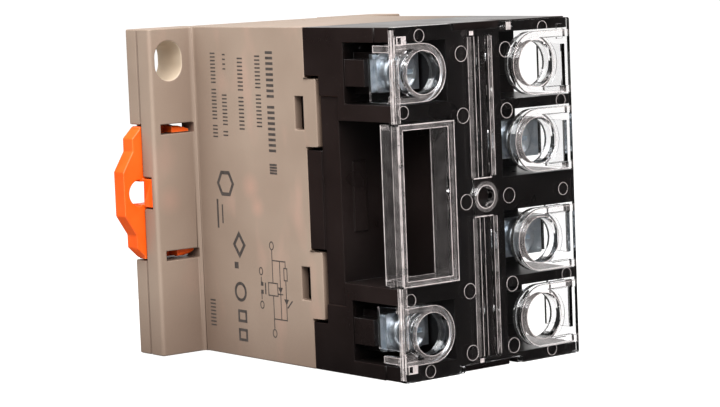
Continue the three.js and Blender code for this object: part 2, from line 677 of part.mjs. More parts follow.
// A coil spring about an axis along y, between two faces.
function coilSpring(x, radius, wire, y, turns) {
  const section = new THREE.Shape();
  section.absarc(0, 0, wire / 2, 0, 2 * Math.PI, false);
  const helix = new Helix(x, radius, y[0] - wire, y[1] + wire, turns);
  return solid(new THREE.ExtrudeGeometry(section, {
    extrudePath: helix, steps: Math.round(turns * 14), curveSegments: 4, bevelEnabled: false,
  }));
}

const CARRIER = { foot: -33.2, top: -49.6, windowTop: -48.3, halfZ: 2.5, stem: 1.5, head: 3.7 };
const DIVIDER = { back: -38.0, front: -39.2 };
const LEAD = { x: -7.5, z: 14, radius: 0.35 };

// Insulating slider: the armature's tongue goes through its foot, the bridge through its head.
function contactCarrier() {
  const x = CARRIER_X;
  const halfZ = CARRIER.halfZ;
  const head = box([x - CARRIER.head, x + CARRIER.head], [-43.2, CARRIER.top], [-halfZ, halfZ]);
  const stem = box([x - CARRIER.stem, x + CARRIER.stem], [CARRIER.foot, -43.4], [-halfZ, halfZ]);
  const spigot = rodY(x, 0, 1.4, [CARRIER.foot - 0.3, CARRIER.foot + 2.2], 16);
  const bridgeWindow = box([x - 2.7, x + 2.7], [BRIDGE.back + 0.1, CARRIER.windowTop],
    [-halfZ - 1, halfZ + 1]);
  const tongueSlot = box([x - CARRIER.stem - 1, x + CARRIER.stem + 1],
    [ARMATURE.back + 0.3, ARMATURE.back - ARMATURE.thick - 0.3], [-1.95, 1.95]);
  return cut(joined(head, stem, spigot), bridgeWindow, tongueSlot);
}

function contactBridge() {
  const { back, thick, halfX, halfZ } = BRIDGE;
  const outline = roundedRectangle([CARRIER_X - halfX, CARRIER_X + halfX], [-halfZ, halfZ], 1);
  return prismY(outline, [back, back - thick]);
}

function insulatingDivider() {
  const plate = box([-18.1, 18.1], [DIVIDER.back, DIVIDER.front], [-28.9, 28.9]);
  const through = [DIVIDER.back + 1, DIVIDER.front - 1];
  const clear = CARRIER.halfZ + GAP;
  const carrierHole = box([CARRIER_X - CARRIER.stem - GAP, CARRIER_X + CARRIER.stem + GAP],
    through, [-clear, clear]);
  const leadHole = (end) => rodY(LEAD.x, end * LEAD.z, 1.2, through, 16);
  return cut(plate, carrierHole, bothEnds(leadHole));
}

// A contact button, with its flat face at y and its back on the piece that carries it.
function contactButton(z, face, back) {
  const rim = face + Math.sign(back - face) * 0.2;
  return turnedY([[0, face], [CONTACT.radius - 0.4, face], [CONTACT.radius, rim],
    [CONTACT.radius, back], [0, back]], CARRIER_X, z, 24);
}

function addMechanism() {
  add('coil_bobbin', coilBobbin(), MATERIAL.bobbin);
  add('coil_winding', coilWinding(), MATERIAL.copper);
  add('iron_core', ironCore(), MATERIAL.steel);
  add('yoke', cut(yoke(), rodY(COIL.x, 0, CORE.radius + 0.1, [0, -10], 32)), MATERIAL.steel);
  add('armature', armature(), MATERIAL.steel);
  add('contact_carrier', contactCarrier(), MATERIAL.bobbin);
  add('contact_bridge', contactBridge(), MATERIAL.copper);
  add('return_spring', coilSpring(CARRIER_X, 2.2, 0.5,
    [SPRING_SEAT_TOP - 0.1, CARRIER.foot + 0.1], 6), MATERIAL.spring);
  add('contact_spring', coilSpring(CARRIER_X, 1.7, 0.4,
    [BRIDGE.back - BRIDGE.thick - 0.1, CARRIER.windowTop + 0.1], 3), MATERIAL.spring);
  add('insulating_divider', insulatingDivider(), MATERIAL.phenolic);
  const fixedBack = STRAP.foot - CONTACT.seat;
  const movingBack = BRIDGE.back + CONTACT.seat;
  for (const [name, z] of [['a', LOAD_TERMINAL.z], ['b', -LOAD_TERMINAL.z]]) {
    add(`fixed_contact_${name}`, contactButton(z, fixedBack - CONTACT.height, fixedBack),
      MATERIAL.silver);
    add(`moving_contact_${name}`, contactButton(z, movingBack + CONTACT.height, movingBack),
      MATERIAL.silver);
  }
}

// ---------------------------------------------------------------- coil circuit

const BOARD = { back: -40.9, front: -42.1 };

function wireAlong(points, radius) {
  const path = new THREE.CatmullRomCurve3(points.map((p) => new THREE.Vector3(...p)), false,
    'catmullrom', 0.3);
  const section = new THREE.Shape();
  section.absarc(0, 0, radius, 0, 2 * Math.PI, false);
  return solid(new THREE.ExtrudeGeometry(section, {
    extrudePath: path, steps: 24, curveSegments: 4, bevelEnabled: false,
  }));
}

// From the bobbin's cheek, through the divider, to the coil strap's tail.
function coilLead(end) {
  return wireAlong([
    [LEAD.x, COIL.flangeFront - 0.3, end * 11.5], [LEAD.x, -34, end * 13.6],
    [LEAD.x, -39, end * LEAD.z], [LEAD.x, -43.5, end * 16], [-8.4, -46.5, end * 20],
    [-8.8, -47, end * 23.5],
  ], LEAD.radius);
}

function statusLamp() {
  const back = BOARD.front - 0.1;
  return turnedY([[0, back], [1.9, back], [1.9, back - 0.8], [1.5, back - 0.8], [1.5, back - 3],
    [1.3, back - 3.8], [0.8, back - 4.3], [0, back - 4.5]], -16.2, 0, 24);
}

function boardPart(x, z, radius) {
  return rodZ(x, BOARD.front - 0.15 - radius, radius, [z - 3, z + 3], 20);
}

function addCoilCircuit() {
  add('circuit_board', box([-18.0, -2], [BOARD.back, BOARD.front], [-12, 12]), MATERIAL.board);
  add('status_lamp', statusLamp(), MATERIAL.greenLens);
  add('series_resistor', boardPart(-11, 5, 1.1), MATERIAL.resistor);
  add('flyback_diode', boardPart(-6, -5, 1.3), MATERIAL.diode);
  add('coil_lead_a', coilLead(1), MATERIAL.copper);
  add('coil_lead_b', coilLead(-1), MATERIAL.copper);
}

// ---------------------------------------------------------------- assembly

add('base_housing', baseHousing(), MATERIAL.greyPlastic);
add('rail_clip', railClip(), MATERIAL.orangePlastic);
add('terminal_housing', terminalHousing(), MATERIAL.blackPlastic);
add('touch_guard', touchGuard(), MATERIAL.clearPlastic);
addTerminals();
addMechanism();
addCoilCircuit();

export default relay;
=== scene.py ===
"""Looks for a rail-mounted power relay: moulded case, clear touch guard, plated terminals, orange clip.

Lengths are in metres, in the part's own frame: the origin is the middle of the rail seat, +Y points
towards the rail, the terminals face -Y, and +Z runs along the rail.
"""
import json
import math

import bmesh
import bpy
from mathutils import Matrix, Vector


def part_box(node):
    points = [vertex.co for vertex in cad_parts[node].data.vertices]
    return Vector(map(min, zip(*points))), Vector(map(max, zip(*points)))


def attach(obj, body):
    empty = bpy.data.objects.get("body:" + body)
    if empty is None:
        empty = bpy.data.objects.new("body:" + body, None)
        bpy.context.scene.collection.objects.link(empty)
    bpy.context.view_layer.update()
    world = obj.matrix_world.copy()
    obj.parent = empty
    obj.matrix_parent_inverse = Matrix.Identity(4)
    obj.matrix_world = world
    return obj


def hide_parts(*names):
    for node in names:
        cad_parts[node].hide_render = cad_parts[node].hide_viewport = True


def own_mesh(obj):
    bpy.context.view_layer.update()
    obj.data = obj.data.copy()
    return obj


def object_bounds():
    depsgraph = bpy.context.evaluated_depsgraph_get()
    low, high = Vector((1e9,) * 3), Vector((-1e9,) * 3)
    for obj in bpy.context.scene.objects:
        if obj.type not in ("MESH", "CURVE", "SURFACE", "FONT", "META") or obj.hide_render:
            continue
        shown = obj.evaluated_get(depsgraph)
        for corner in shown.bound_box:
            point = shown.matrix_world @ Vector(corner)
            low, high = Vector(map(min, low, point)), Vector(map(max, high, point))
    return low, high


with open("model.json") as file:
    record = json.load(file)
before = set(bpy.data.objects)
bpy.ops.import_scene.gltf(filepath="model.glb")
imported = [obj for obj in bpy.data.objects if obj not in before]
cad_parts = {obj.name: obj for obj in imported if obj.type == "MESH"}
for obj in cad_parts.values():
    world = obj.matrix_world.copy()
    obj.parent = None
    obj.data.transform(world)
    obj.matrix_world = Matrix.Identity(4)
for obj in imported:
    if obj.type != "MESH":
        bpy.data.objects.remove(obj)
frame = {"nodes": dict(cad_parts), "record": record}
CAD_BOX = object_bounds()

MM = 0.001
BODY_OF = {node: body for body, nodes in frame["record"]["behaviour"]["bodies"].items() for node in nodes}

# ---------------------------------------------------------------- places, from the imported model

GUARD_LOW, GUARD_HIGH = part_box("touch_guard")
SIDE_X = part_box("terminal_housing")[0].x    # printed side of the case
FLOOR_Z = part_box("base_housing")[0].z
CENTRE = (CAD_BOX[0] + CAD_BOX[1]) / 2

# ---------------------------------------------------------------- camera, light and floor

CAMERA_AT = Vector((-0.32218, -0.43306, 0.04955))
CAMERA_AZIMUTH = math.radians(-38.677)
CAMERA_ELEVATION = math.radians(5.890)
CAMERA_ROLL = math.radians(-2.2456)
CAMERA_LENS = 128.67

# The room: directions, the cosines between which each area fades in, and brightness.
BACKDROP = Vector((0.62, 0.78, -0.05))      # behind the object, as the camera looks
BACKDROP_FADE = (0.70, 0.86)
BACKDROP_BRIGHTNESS = 1.1
SIDE_PANEL = Vector((-0.80, 0.55, 0.22))    # lights the printed side from beyond the flange
SIDE_PANEL_FADE = (0.45, 0.85)
SIDE_PANEL_BRIGHTNESS = 0.95
DARK_CARDS = (Vector((0.62, -0.78, -0.05)), Vector((-0.62, 0.78, -0.05)))
DARK_CARD_FADE = (0.40, 0.68)
DARK_CARD_BRIGHTNESS = 0.026
ROOM_BRIGHTNESS = 0.2
ROOM_TINT = (1.0, 0.985, 0.97, 1)

# Lamps: place from the object's centre, side of the square, and power in watts.
LAMPS = {
    "top_light": (Vector((-0.15, -0.08, 0.28)), 0.45, 2.3),
    "front_light": (Vector((-0.16, -0.42, 0.36)), 0.35, 2.6),
}

# The table. Reflected, it is bright only in a strip that runs away from the camera.
FLOOR_REACH = 3.0
FLOOR_GAP = 0.0002                          # keeps the table clear of the object's end face
FLOOR_GLOW = 0.95                           # as seen
FLOOR_FILL = 0.06                           # as it lights the object
STRIP_ACROSS = Vector((-0.78, 0.62, 0))
STRIP_MIDDLE = -0.02
STRIP_EDGE = (0.018, 0.045)                 # it fades out between these distances from its middle
STRIP_TOWARDS_CAMERA = Vector((-0.62, -0.78, 0))
STRIP_END = (-0.03, 0.0)                    # and between these distances towards the camera


def add_camera():
    """The camera, turned by azimuth about Z, then elevation, then roll about its own axis."""
    az, el, roll = CAMERA_AZIMUTH, CAMERA_ELEVATION, CAMERA_ROLL
    forward = Vector((-math.sin(az) * math.cos(el), math.cos(az) * math.cos(el), -math.sin(el)))
    level_right = forward.cross(Vector((0, 0, 1))).normalized()
    level_up = level_right.cross(forward)
    right = level_right * math.cos(roll) + level_up * math.sin(roll)
    up = level_up * math.cos(roll) - level_right * math.sin(roll)
    turn = Matrix((right, up, -forward)).transposed().to_4x4()
    data = bpy.data.cameras.new("camera")
    data.lens = CAMERA_LENS
    data.sensor_width = 36
    data.clip_start = 0.01
    camera = bpy.data.objects.new("camera", data)
    camera.matrix_world = Matrix.Translation(CAMERA_AT) @ turn
    bpy.context.scene.collection.objects.link(camera)
    bpy.context.scene.camera = camera


def along(tree, output, direction):
    """How far a texture coordinate reaches along a direction."""
    coordinates = tree.nodes.new("ShaderNodeTexCoord")
    reach = tree.nodes.new("ShaderNodeVectorMath")
    reach.operation = "DOT_PRODUCT"
    reach.inputs[1].default_value = direction.normalized()
    tree.links.new(coordinates.outputs[output], reach.inputs[0])
    return reach.outputs["Value"]


def smooth_step(tree, value, low, high):
    amount = tree.nodes.new("ShaderNodeMapRange")
    amount.interpolation_type = "SMOOTHSTEP"
    amount.inputs["From Min"].default_value = low
    amount.inputs["From Max"].default_value = high
    tree.links.new(value, amount.inputs["Value"])
    return amount.outputs["Result"]


def towards(tree, direction, wide, narrow):
    """0 beyond a cone of sky about direction and 1 in its middle; wide and narrow are cosines."""
    return smooth_step(tree, along(tree, "Generated", direction), wide, narrow)


def blend_value(tree, factor, start, end):
    """A number that goes from start to end; each is a socket or a number."""
    node = tree.nodes.new("ShaderNodeMix")
    tree.links.new(factor, node.inputs[0])
    for socket, value in zip(node.inputs[2:4], (start, end)):
        if isinstance(value, bpy.types.NodeSocket):
            tree.links.new(value, socket)
        else:
            socket.default_value = value
    return node.outputs[0]


def maths(tree, operation, first, second, clamp=False):
    """One step of arithmetic; first and second are sockets or numbers."""
    node = tree.nodes.new("ShaderNodeMath")
    node.operation = operation
    node.use_clamp = clamp
    for socket, value in zip(node.inputs, (first, second)):
        if isinstance(value, bpy.types.NodeSocket):
            tree.links.new(value, socket)
        else:
            socket.default_value = value
    return node.outputs[0]


def light_path(tree, output):
    return tree.nodes.new("ShaderNodeLightPath").outputs[output]


def mirrored(tree):
    """1 for a ray that has come off a glossy surface, and 0 for any other."""
    return maths(tree, "GREATER_THAN", light_path(tree, "Glossy Depth"), 0.5)


def add_world():
    """A pale room with a white backdrop; dark cards stand to the sides, seen in reflections only."""
    world = bpy.data.worlds.new("studio")
    world.use_nodes = True
    tree = world.node_tree
    room = blend_value(tree, towards(tree, BACKDROP, *BACKDROP_FADE), ROOM_BRIGHTNESS, BACKDROP_BRIGHTNESS)
    room = blend_value(tree, towards(tree, SIDE_PANEL, *SIDE_PANEL_FADE), room, SIDE_PANEL_BRIGHTNESS)
    cards = maths(tree, "ADD", *(towards(tree, card, *DARK_CARD_FADE) for card in DARK_CARDS), clamp=True)
    dark = maths(tree, "MULTIPLY", cards, mirrored(tree))
    background = tree.nodes["Background"]
    background.inputs["Color"].default_value = ROOM_TINT
    tree.links.new(blend_value(tree, dark, room, DARK_CARD_BRIGHTNESS), background.inputs["Strength"])
    world.cycles.sampling_method = "NONE"
    bpy.context.scene.world = world


def add_lights():
    """Square lamps that face the middle of the object."""
    for name, (offset, size, power) in LAMPS.items():
        data = bpy.data.lights.new(name, "AREA")
        data.size = size
        data.energy = power
        light = bpy.data.objects.new(name, data)
        turn = (-offset).to_track_quat("-Z", "Y").to_matrix().to_4x4()
        light.matrix_world = Matrix.Translation(CENTRE + offset) @ turn
        bpy.context.scene.collection.objects.link(light)


def floor_material():
    """A glowing white table; in reflections it is dark to either side of a strip under the object."""
    material = new_material("floor_paper")
    tree = material.node_tree
    shader = principled(material)
    shader.inputs["Base Color"].default_value = (0.3, 0.3, 0.3, 1)
    shader.inputs["Roughness"].default_value = 0.95
    shader.inputs["Emission Color"].default_value = (1.0, 0.99, 0.98, 1)
    aside = maths(tree, "SUBTRACT", along(tree, "Object", STRIP_ACROSS), STRIP_MIDDLE)
    beside = smooth_step(tree, maths(tree, "ABSOLUTE", aside, 0), *STRIP_EDGE)
    beyond = smooth_step(tree, along(tree, "Object", STRIP_TOWARDS_CAMERA), *STRIP_END)
    dark = maths(tree, "MULTIPLY", maths(tree, "ADD", beside, beyond, clamp=True), mirrored(tree))
    glow = blend_value(tree, light_path(tree, "Is Diffuse Ray"), FLOOR_GLOW, FLOOR_FILL)
    tree.links.new(blend_value(tree, dark, glow, DARK_CARD_BRIGHTNESS), shader.inputs["Emission Strength"])
    unlit = tree.nodes.new("ShaderNodeEmission")
    unlit.inputs["Strength"].default_value = DARK_CARD_BRIGHTNESS
    mix_shaders(material, dark, unlit)
    material.cycles.emission_sampling = "NONE"
    return material


def add_floor():
    mesh = bpy.data.meshes.new("floor")
    reach = FLOOR_REACH
    corners = [(-reach, -reach), (reach, -reach), (reach, reach), (-reach, reach)]
    mesh.from_pydata([(x, y, FLOOR_Z - FLOOR_GAP) for x, y in corners], [], [(0, 1, 2, 3)])
    mesh.materials.append(floor_material())
    floor = bpy.data.objects.new("floor", mesh)
    bpy.context.scene.collection.objects.link(floor)


# ---------------------------------------------------------------- material helpers

def new_material(name):
    material = bpy.data.materials.new(name)
    material.use_nodes = True
    return material


def principled(material):
    return material.node_tree.nodes["Principled BSDF"]


def mix_shaders(material, factor, other):
    """The surface is the principled shader where factor is 0, and the other shader where it is 1."""
    tree = material.node_tree
    mix = tree.nodes.new("ShaderNodeMixShader")
    tree.links.new(factor, mix.inputs[0])
    tree.links.new(principled(material).outputs[0], mix.inputs[1])
    tree.links.new(other.outputs[0], mix.inputs[2])
    tree.links.new(mix.outputs[0], tree.nodes["Material Output"].inputs["Surface"])


def place_coordinates(material, scale):
    """Object coordinates, which on every piece are places in the part's frame, times a scale."""
    tree = material.node_tree
    source = tree.nodes.new("ShaderNodeTexCoord")
    mapping = tree.nodes.new("ShaderNodeMapping")
    mapping.inputs["Scale"].default_value = scale
    tree.links.new(source.outputs["Object"], mapping.inputs["Vector"])
    return mapping.outputs["Vector"]


def noise(material, size_mm, detail=3.0, roughness=0.55, stretch=(1, 1, 1)):
    """Noise whose blobs are about size_mm across, stretched by stretch."""
    tree = material.node_tree
    node = tree.nodes.new("ShaderNodeTexNoise")
    node.inputs["Scale"].default_value = 1.0
    node.inputs["Detail"].default_value = detail
    node.inputs["Roughness"].default_value = roughness
    per_metre = 1.0 / (size_mm * MM)
    scale = tuple(per_metre / s for s in stretch)
    tree.links.new(place_coordinates(material, scale), node.inputs["Vector"])
    return node.outputs["Fac"]


def ramp(material, value, stops):
    """A colour ramp with (position, colour) stops."""
    tree = material.node_tree
    node = tree.nodes.new("ShaderNodeValToRGB")
    elements = node.color_ramp.elements
    while len(elements) < len(stops):
        elements.new(0.5)
    for element, (position, colour) in zip(elements, stops):
        element.position = position
        element.color = (*colour, 1)
    tree.links.new(value, node.inputs["Fac"])
    return node.outputs["Color"]


def remap(material, value, low, high, to_low, to_high):
    """Carries low...high onto to_low...to_high, and stays within it."""
    tree = material.node_tree
    node = tree.nodes.new("ShaderNodeMapRange")
    node.inputs["From Min"].default_value = low
    node.inputs["From Max"].default_value = high
    node.inputs["To Min"].default_value = to_low
    node.inputs["To Max"].default_value = to_high
    tree.links.new(value, node.inputs["Value"])
    return node.outputs["Result"]


def mix_colour(material, factor, a, b):
    """Mixes two colours; each is a colour tuple or a socket."""
    tree = material.node_tree
    node = tree.nodes.new("ShaderNodeMix")
    node.data_type = "RGBA"
    for socket, value in ((node.inputs[0], factor), (node.inputs[6], a), (node.inputs[7], b)):
        if isinstance(value, bpy.types.NodeSocket):
            tree.links.new(value, socket)
        elif isinstance(value, tuple):
            socket.default_value = (*value, 1)
        else:
            socket.default_value = value
    return node.outputs[2]


def add_bump(material, height, distance_mm, strength):
    tree = material.node_tree
    node = tree.nodes.new("ShaderNodeBump")
    node.inputs["Strength"].default_value = strength
    node.inputs["Distance"].default_value = distance_mm * MM
    tree.links.new(height, node.inputs["Height"])
    return node.outputs["Normal"]


def link_to(material, name, socket):
    material.node_tree.links.new(socket, principled(material).inputs[name])


NEAR_SAMPLES = 4            # rays for each look at a surface's neighbourhood


# Edges are painted paler or brighter than the flats with this mask.
def pale_edge_mask(material, reach_mm):
    """A mask that is 1 along edges and 0 on flats: where a rounded normal leaves the surface's own."""
    tree = material.node_tree
    rounded = tree.nodes.new("ShaderNodeBevel")
    rounded.samples = NEAR_SAMPLES
    rounded.inputs["Radius"].default_value = reach_mm * MM
    surface = tree.nodes.new("ShaderNodeNewGeometry")
    agreement = tree.nodes.new("ShaderNodeVectorMath")
    agreement.operation = "DOT_PRODUCT"
    tree.links.new(rounded.outputs["Normal"], agreement.inputs[0])
    tree.links.new(surface.outputs["Normal"], agreement.inputs[1])
    return remap(material, agreement.outputs["Value"], 0.80, 0.97, 1.0, 0.0)


def hollow_shade_mask(material, reach_mm, darkest):
    """A mask of painted shade: 0 in the open and up to darkest in corners and hollows."""
    node = material.node_tree.nodes.new("ShaderNodeAmbientOcclusion")
    node.samples = NEAR_SAMPLES
    node.inputs["Distance"].default_value = reach_mm * MM
    return remap(material, node.outputs["AO"], 0.3, 0.95, darkest, 0.0)


# ---------------------------------------------------------------- materials

# Faint reddish light from the orange clip, painted on the grey case as patches: (x, y, z) and reach in mm.
CLIP_LIGHT_PATCHES = (((-22.3, -24.0, 1.5), 3.2), ((-22.3, -26.0, -2.5), 2.6), ((-29.5, -6.2, -1.5), 3.4))

# Axes (x, z) of the holes through the flanges, in mm: light from behind makes their walls pale.
FLANGE_HOLES = ((-28.3, 26.5), (28.3, -26.5))
HOLE_REACH = (4.1, 4.3)     # mm from the axis, just past the longest reach of the slot


def distance_from(material, centre, weights=(1, 1, 1)):
    """Distance in mm from a place in the part's frame; a weight of 0 leaves an axis out."""
    tree = material.node_tree
    node = tree.nodes.new("ShaderNodeVectorMath")
    node.operation = "DISTANCE"
    node.inputs[1].default_value = centre
    scale = tuple(weight / MM for weight in weights)
    tree.links.new(place_coordinates(material, scale), node.inputs[0])
    return node.outputs["Value"]


def hole_wall(material, x, z):
    """A mask of the walls of a hole along y: near its axis, and facing across it."""
    tree = material.node_tree
    near = remap(material, distance_from(material, (x, 0, z), (1, 0, 1)), *HOLE_REACH, 1.0, 0.0)
    facing = maths(tree, "ABSOLUTE", along(tree, "Normal", Vector((0, 1, 0))), 0)
    return maths(tree, "MULTIPLY", near, remap(material, facing, 0.5, 0.9, 1.0, 0.0))


def grey_case_material():
    """Matt light grey plastic, a little pale along its edges, with painted shade in its corners, painted
    light on the walls of its flange holes and painted reddish light from the orange clip.
    """
    material = new_material("grey_polyamide")
    cloud = noise(material, 14, 2.0)
    fine = noise(material, 0.35, 2.0)
    patches = noise(material, 7, 2.0, 0.5, (1, 1, 2.2))
    body = ramp(material, cloud, [(0.30, (0.298, 0.221, 0.169)), (0.70, (0.340, 0.256, 0.197))])
    warm = mix_colour(material, remap(material, patches, 0.58, 0.76, 0.0, 0.5), body, (0.46, 0.29, 0.225))
    # Painted light: reddish patches of the orange clip's light on the case.
    for centre, reach in CLIP_LIGHT_PATCHES:
        clip_light = remap(material, distance_from(material, centre), 0.2, reach, 0.45, 0.0)
        warm = mix_colour(material, clip_light, warm, (0.52, 0.29, 0.22))
    # Painted shade: an occlusion mask darkens the corners and hollows, and keeps the pale edges out of
    # them.
    hollow = hollow_shade_mask(material, 18, 1.0)
    exposed = remap(material, hollow, 0.1, 0.3, 1.0, 0.0)
    pale_edge = maths(material.node_tree, "MULTIPLY", pale_edge_mask(material, 0.25), exposed)
    edge_paled = mix_colour(material, pale_edge, warm, (0.52, 0.43, 0.36))
    speck = mix_colour(material, remap(material, fine, 0.35, 0.75, 0.0, 0.12), edge_paled, (0.25, 0.20, 0.165))
    painted_light_and_shade = mix_colour(material, hollow, speck, (0.17, 0.115, 0.085))
    # Painted light: the walls of the flange holes are painted pale, as if lit from behind.
    for x, z in FLANGE_HOLES:
        painted_light_and_shade = mix_colour(material, hole_wall(material, x, z), painted_light_and_shade, (0.60, 0.49, 0.37))
    link_to(material, "Base Color", painted_light_and_shade)
    link_to(material, "Roughness", remap(material, cloud, 0.3, 0.7, 0.46, 0.60))
    link_to(material, "Normal", add_bump(material, fine, 0.012, 0.55))
    principled(material).inputs["Specular IOR Level"].default_value = 0.42
    return material


def black_case_material():
    """Glossy black plastic with specks of dust, and painted shade in its hollows."""
    material = new_material("black_polyamide")
    cloud = noise(material, 10, 2.0)
    fine = noise(material, 0.5, 2.0)
    dust = noise(material, 0.22, 1.0)
    body = ramp(material, cloud, [(0.3, (0.0108, 0.0067, 0.0061)), (0.7, (0.0162, 0.0101, 0.0092))])
    dusty = mix_colour(material, remap(material, dust, 0.74, 0.80, 0.0, 0.35), body, (0.16, 0.14, 0.13))
    edge_paled = mix_colour(material, pale_edge_mask(material, 0.15), dusty, (0.06, 0.048, 0.044))
    # Painted shade: an occlusion mask darkens the hollows and chambers.
    hollow = mix_colour(material, hollow_shade_mask(material, 16, 0.95), edge_paled, (0.0022, 0.0015, 0.0014))
    link_to(material, "Base Color", hollow)
    link_to(material, "Roughness", remap(material, cloud, 0.3, 0.7, 0.26, 0.36))
    link_to(material, "Normal", add_bump(material, fine, 0.006, 0.25))
    principled(material).inputs["Specular IOR Level"].default_value = 0.4
    return material


def orange_clip_material():
    """Bright orange plastic, paler along its edges."""
    material = new_material("orange_polyamide")
    cloud = noise(material, 6, 2.0)
    fine = noise(material, 0.3, 2.0)
    body = ramp(material, cloud, [(0.3, (0.93, 0.095, 0.002)), (0.7, (1.0, 0.125, 0.004))])
    edge_paled = mix_colour(material, pale_edge_mask(material, 0.25), body, (1.0, 0.30, 0.10))
    link_to(material, "Base Color", edge_paled)
    link_to(material, "Roughness", remap(material, cloud, 0.3, 0.7, 0.36, 0.48))
    link_to(material, "Normal", add_bump(material, fine, 0.008, 0.5))
    return material


def let_light_through(material, tint):
    """Shadow rays pass straight through, tinted, so that what is behind the clear plastic is lit."""
    tree = material.node_tree
    clear = tree.nodes.new("ShaderNodeBsdfTransparent")
    clear.inputs["Color"].default_value = (*tint, 1)
    mix_shaders(material, light_path(tree, "Is Shadow Ray"), clear)


POLYCARBONATE_IOR = 1.55


def clear_guard_material():
    """Clear polycarbonate with patches of faint haze."""
    material = new_material("clear_polycarbonate")
    shader = principled(material)
    shader.inputs["Base Color"].default_value = (0.985, 0.985, 0.99, 1)
    shader.inputs["Transmission Weight"].default_value = 1.0
    shader.inputs["IOR"].default_value = POLYCARBONATE_IOR
    haze = noise(material, 2.5, 3.0)
    link_to(material, "Roughness", remap(material, haze, 0.55, 0.80, 0.0, 0.05))
    let_light_through(material, (0.94, 0.94, 0.95))
    return material


def guard_mark_material(name, alpha_low, alpha_high):
    """Pale marks in the clear moulding: painted light along its edges and walls, where they catch the
    light, and its ejector marks.
    """
    material = new_material(name)
    shader = principled(material)
    shader.inputs["IOR"].default_value = POLYCARBONATE_IOR
    fine = noise(material, 0.5, 3.0)
    patches = noise(material, 2.2, 4.0)
    body = ramp(material, fine, [(0.3, (0.72, 0.64, 0.62)), (0.7, (0.95, 0.87, 0.85))])
    link_to(material, "Base Color", body)
    link_to(material, "Roughness", remap(material, fine, 0.3, 0.7, 0.25, 0.45))
    link_to(material, "Alpha", remap(material, patches, 0.35, 0.65, alpha_low, alpha_high))
    let_light_through(material, (0.8, 0.8, 0.8))
    return material


def plated_material(name, dark, light, roughness):
    """Plated or drawn metal: a cloudy tint, fine grain, and brighter edges."""
    material = new_material(name)
    cloud = noise(material, 1.8, 3.0)
    grain = noise(material, 0.12, 2.0, 0.6)
    body = ramp(material, cloud, [(0.3, dark), (0.7, light)])
    bright = tuple(min(1.0, c * 1.25) for c in light)
    link_to(material, "Base Color", mix_colour(material, pale_edge_mask(material, 0.08), body, bright))
    link_to(material, "Roughness", remap(material, grain, 0.3, 0.7, roughness - 0.07, roughness + 0.09))
    link_to(material, "Normal", add_bump(material, grain, 0.006, 0.5))
    principled(material).inputs["Metallic"].default_value = 1.0
    return material


def moulded_material(name, dark, light, roughness, blob_mm=3.0):
    """Moulded or coated non-metal: a cloudy tint with a fine grain."""
    material = new_material(name)
    cloud = noise(material, blob_mm, 2.0)
    fine = noise(material, 0.25, 2.0)
    link_to(material, "Base Color", ramp(material, cloud, [(0.3, dark), (0.7, light)]))
    link_to(material, "Roughness", remap(material, fine, 0.3, 0.7, roughness - 0.05, roughness + 0.07))
    link_to(material, "Normal", add_bump(material, fine, 0.01, 0.5))
    return material


WAVE_PERIOD = math.pi / 10              # of the wave texture, in its own units
WINDING_RIDGE = 0.56 * math.pi          # mm from one ridge of the winding to the next


def winding_material():
    """Enamelled copper wire: fine ridges across the coil's axis."""
    material = plated_material("enamelled_copper", (0.42, 0.15, 0.06), (0.62, 0.26, 0.12), 0.32)
    tree = material.node_tree
    wave = tree.nodes.new("ShaderNodeTexWave")
    wave.bands_direction = "Y"
    wave.inputs["Scale"].default_value = 1.0
    scale = WAVE_PERIOD / (WINDING_RIDGE * MM)
    tree.links.new(place_coordinates(material, (scale,) * 3), wave.inputs["Vector"])
    link_to(material, "Normal", add_bump(material, wave.outputs["Fac"], 0.06, 0.9))
    return material


MATERIAL = {
    "grey_case": grey_case_material(),
    "black_case": black_case_material(),
    "orange_clip": orange_clip_material(),
    "clear_guard": clear_guard_material(),
    # Painted light in the clear guard: pale lines and walls where its edges and walls catch the light; the
    # first also draws the ejector marks.
    "lit_edges_and_ejector_marks": guard_mark_material("polycarbonate_lit_edges_and_ejector_marks", 0.26, 0.46),
    "lit_wall": guard_mark_material("polycarbonate_lit_walls", 0.03, 0.09),
    "faintly_lit_wall": guard_mark_material("polycarbonate_faintly_lit_walls", 0.01, 0.03),
    "ink": moulded_material("pad_print_ink", (0.045, 0.037, 0.034), (0.080, 0.067, 0.060), 0.5, 1.0),
    "zinc_plate": plated_material("blue_zinc", (0.60, 0.67, 0.73), (0.86, 0.90, 0.94), 0.34),
    "copper": winding_material(),
    "iron": plated_material("soft_iron", (0.30, 0.31, 0.32), (0.46, 0.47, 0.48), 0.38),
    "spring_steel": plated_material("spring_wire", (0.40, 0.40, 0.41), (0.58, 0.58, 0.58), 0.28),
    "contact_silver": plated_material("silver_alloy", (0.66, 0.65, 0.62), (0.82, 0.81, 0.78), 0.30),
    "natural_nylon": moulded_material("natural_nylon", (0.68, 0.62, 0.50), (0.80, 0.74, 0.62), 0.45),
    "phenolic": moulded_material("phenolic_laminate", (0.15, 0.075, 0.035), (0.24, 0.13, 0.065), 0.55),
    "board": moulded_material("solder_mask", (0.035, 0.16, 0.06), (0.055, 0.21, 0.085), 0.35),
    "green_lens": moulded_material("lamp_lens", (0.06, 0.42, 0.10), (0.10, 0.55, 0.15), 0.15),
    "resistor": moulded_material("lacquer", (0.52, 0.38, 0.22), (0.64, 0.48, 0.30), 0.35),
    "diode": moulded_material("moulded_epoxy", (0.015, 0.015, 0.016), (0.03, 0.03, 0.032), 0.45),
}


# ---------------------------------------------------------------- refined copies of the CAD solids

SHARP_ANGLE = math.radians(30)
FLAT_ANGLE = math.radians(0.6)
SAME_PLACE = 2e-6           # split vertices lie closer than this
BEVEL_TRIES = 6
SHORT_EDGE = 3 * MM         # the first tries give up bevels only on edges shorter than this

